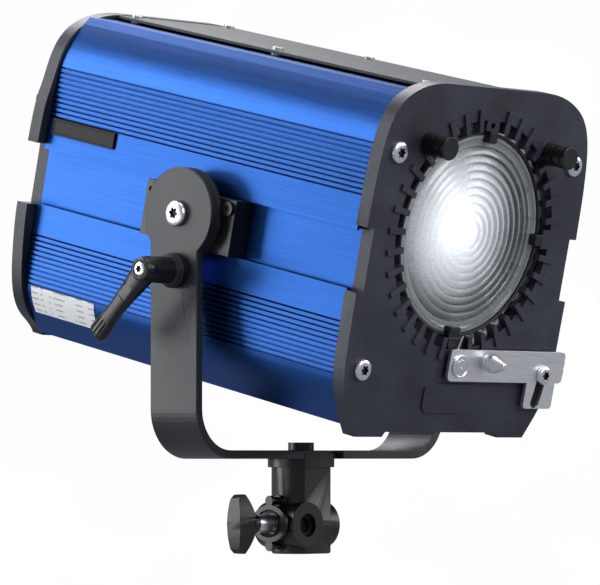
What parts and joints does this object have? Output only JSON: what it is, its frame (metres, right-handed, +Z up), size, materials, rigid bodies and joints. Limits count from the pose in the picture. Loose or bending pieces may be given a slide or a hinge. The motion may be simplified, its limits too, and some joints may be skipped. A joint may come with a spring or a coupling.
{
  "type": "fresnel spotlight",
  "caption": "Studio lamp head with a stepped lens and blue side extrusions, tilting in a strap yoke on a stand socket; focus, latch and clamps move.",
  "frame": {"origin": "centre of the stand socket's bore at its open lower mouth", "axes": "+X forward, out of the lens when the head is level; +Y to the lamp's left; +Z up, along the stand socket's bore"},
  "size_m": [0.2942, 0.2253, 0.2945],
  "materials": {
    "blue_anodised": "satin anodised",
    "black_casting": "fine textured powder coat",
    "grey_cover": "satin powder coat",
    "zinc_steel": "zinc plated",
    "stainless": "fine brushed",
    "lens_glass": "clear pressed",
    "white_plastic": "matte",
    "black_steel": "black oxide",
    "badge_metal": "gloss black",
    "label_film": "printed film",
    "display_glass": "clear window over a dark display",
    "circuit_board": "solder mask",
    "black_plastic": "fine texture",
    "bare_aluminium": "as extruded",
    "led_phosphor": "yellow phosphor",
    "black_block": "black anodised",
    "friction_rubber": "bonded fibre",
    "yoke_paint": "satin powder coat",
    "pad_brass": "turned"
  },
  "bodies": {
    "stand": {"yoke": "yoke_paint", "stand_socket": "black_casting", "socket_bolt": "black_steel", "retainer_ring": "black_steel", "brake_jaw": "zinc_steel", "lever_washer": "black_steel"},
    "carriage": {"pivot_blocks": "black_block", "friction_discs": "friction_rubber", "pivot_bolts": "zinc_steel", "block_screws": "black_steel"},
    "head": {"side_profile_right": "blue_anodised", "side_profile_left": "blue_anodised", "front_casting": "black_casting", "rear_casting": "black_casting", "top_cover": "grey_cover", "bottom_cover": "grey_cover", "top_standoffs": "zinc_steel", "cover_screws": "zinc_steel", "front_screws": "zinc_steel", "rear_screws": "zinc_steel", "small_screws": "zinc_steel", "fresnel_lens": "lens_glass", "lens_seat": "white_plastic", "lens_clips": "black_steel", "accessory_pins": "black_steel", "latch_rivet": "zinc_steel", "latch_guide_screw": "zinc_steel", "latch_spring": "zinc_steel", "badge_plate": "badge_metal", "rating_label": "label_film", "rear_panel": "grey_cover", "display_window": "display_glass", "control_board": "circuit_board", "mains_inlet": "black_plastic", "switch_frame": "black_plastic", "dmx_sockets": "black_plastic", "spindle_bearing": "bare_aluminium", "guide_rods": "stainless", "driver_board": "circuit_board", "fan_frame": "black_plastic"},
    "latch": {"latch_plate": "stainless", "latch_cone_pin": "stainless"},
    "focus_spindle_set": {"focus_knob": "black_plastic", "focus_spindle": "zinc_steel"},
    "sled": {"led_sled": "bare_aluminium", "heat_sink": "bare_aluminium", "led_module": "led_phosphor", "reflector": "bare_aluminium"},
    "dimmer": {"dimmer_knob": "black_plastic"},
    "fan": {"fan_rotor": "black_plastic"},
    "rocker": {"power_switch": "black_plastic"},
    "menu_key": {"menu_button": "black_plastic"},
    "up_key": {"up_button": "black_plastic"},
    "down_key": {"down_button": "black_plastic"},
    "lever": {"lever_handle": "black_plastic", "lever_screw": "zinc_steel", "lever_stud": "zinc_steel"},
    "lock": {"lock_screw": "zinc_steel", "lock_wing": "black_plastic"},
    "pad": {"pressure_pad": "pad_brass"}
  },
  "joints": [
    {"name": "tilt", "type": "hinge", "parent": "stand", "child": "carriage", "pos_m": [0.0032, 0, 0.1776], "axis": [0, 1, 0], "range_deg": [-46, 20]},
    {"name": "balance", "type": "slide", "parent": "carriage", "child": "head", "axis": [0.9744, 0, -0.225], "range_m": [-0.02, 0.02]},
    {"name": "latch_swing", "type": "hinge", "parent": "head", "child": "latch", "pos_m": [0.11008, 0.0015, 0.09863], "axis": [0.9744, 0, -0.225], "range_deg": [0, 7.5], "stiffness_Nm_per_rad": 0.05, "springref_deg": -5.73},
    {"name": "sled_travel", "type": "slide", "parent": "head", "child": "sled", "axis": [0.9744, 0, -0.225], "range_m": [-0.02, 0.04]},
    {"name": "focus_turn", "type": "hinge", "parent": "head", "child": "focus_spindle_set", "pos_m": [-0.12511, -0.057, 0.24417], "axis": [0.9744, 0, -0.225], "range_deg": [-900, 1800]},
    {"name": "dimmer_turn", "type": "hinge", "parent": "head", "child": "dimmer", "pos_m": [-0.12646, -0.03, 0.23832], "axis": [0.9744, 0, -0.225], "range_deg": [-150, 150]},
    {"name": "fan_spin", "type": "hinge", "parent": "head", "child": "fan", "pos_m": [-0.11552, 0.018, 0.1968], "axis": [0.9744, 0, -0.225], "continuous": true},
    {"name": "power_rock", "type": "hinge", "parent": "head", "child": "rocker", "pos_m": [-0.12677, -0.03, 0.19119], "axis": [-0.225, 0, -0.9744], "range_deg": [0, 20]},
    {"name": "menu_press", "type": "slide", "parent": "head", "child": "menu_key", "axis": [0.9744, 0, -0.225], "range_m": [0, 0.001], "stiffness_N_per_m": 120},
    {"name": "up_press", "type": "slide", "parent": "head", "child": "up_key", "axis": [0.9744, 0, -0.225], "range_m": [0, 0.001], "stiffness_N_per_m": 120},
    {"name": "down_press", "type": "slide", "parent": "head", "child": "down_key", "axis": [0.9744, 0, -0.225], "range_m": [0, 0.001], "stiffness_N_per_m": 120},
    {"name": "lever_turn", "type": "hinge", "parent": "stand", "child": "lever", "pos_m": [0.002, -0.1, 0.148], "axis": [0, 1, 0], "range_deg": [0, 120]},
    {"name": "lock_turn", "type": "hinge", "parent": "stand", "child": "lock", "pos_m": [0, -0.03, 0.0162], "axis": [0, 1, 0], "range_deg": [0, 360]},
    {"name": "pad_travel", "type": "slide", "parent": "stand", "child": "pad", "axis": [0, 1, 0], "range_m": [0, 0.00126]}
  ],
  "couplings": [
    {"joint": "focus_turn", "follows": "sled_travel", "rad_per_m": 785.32},
    {"joint": "pad_travel", "follows": "lock_turn", "m_per_rad": 0.00019894}
  ]
}
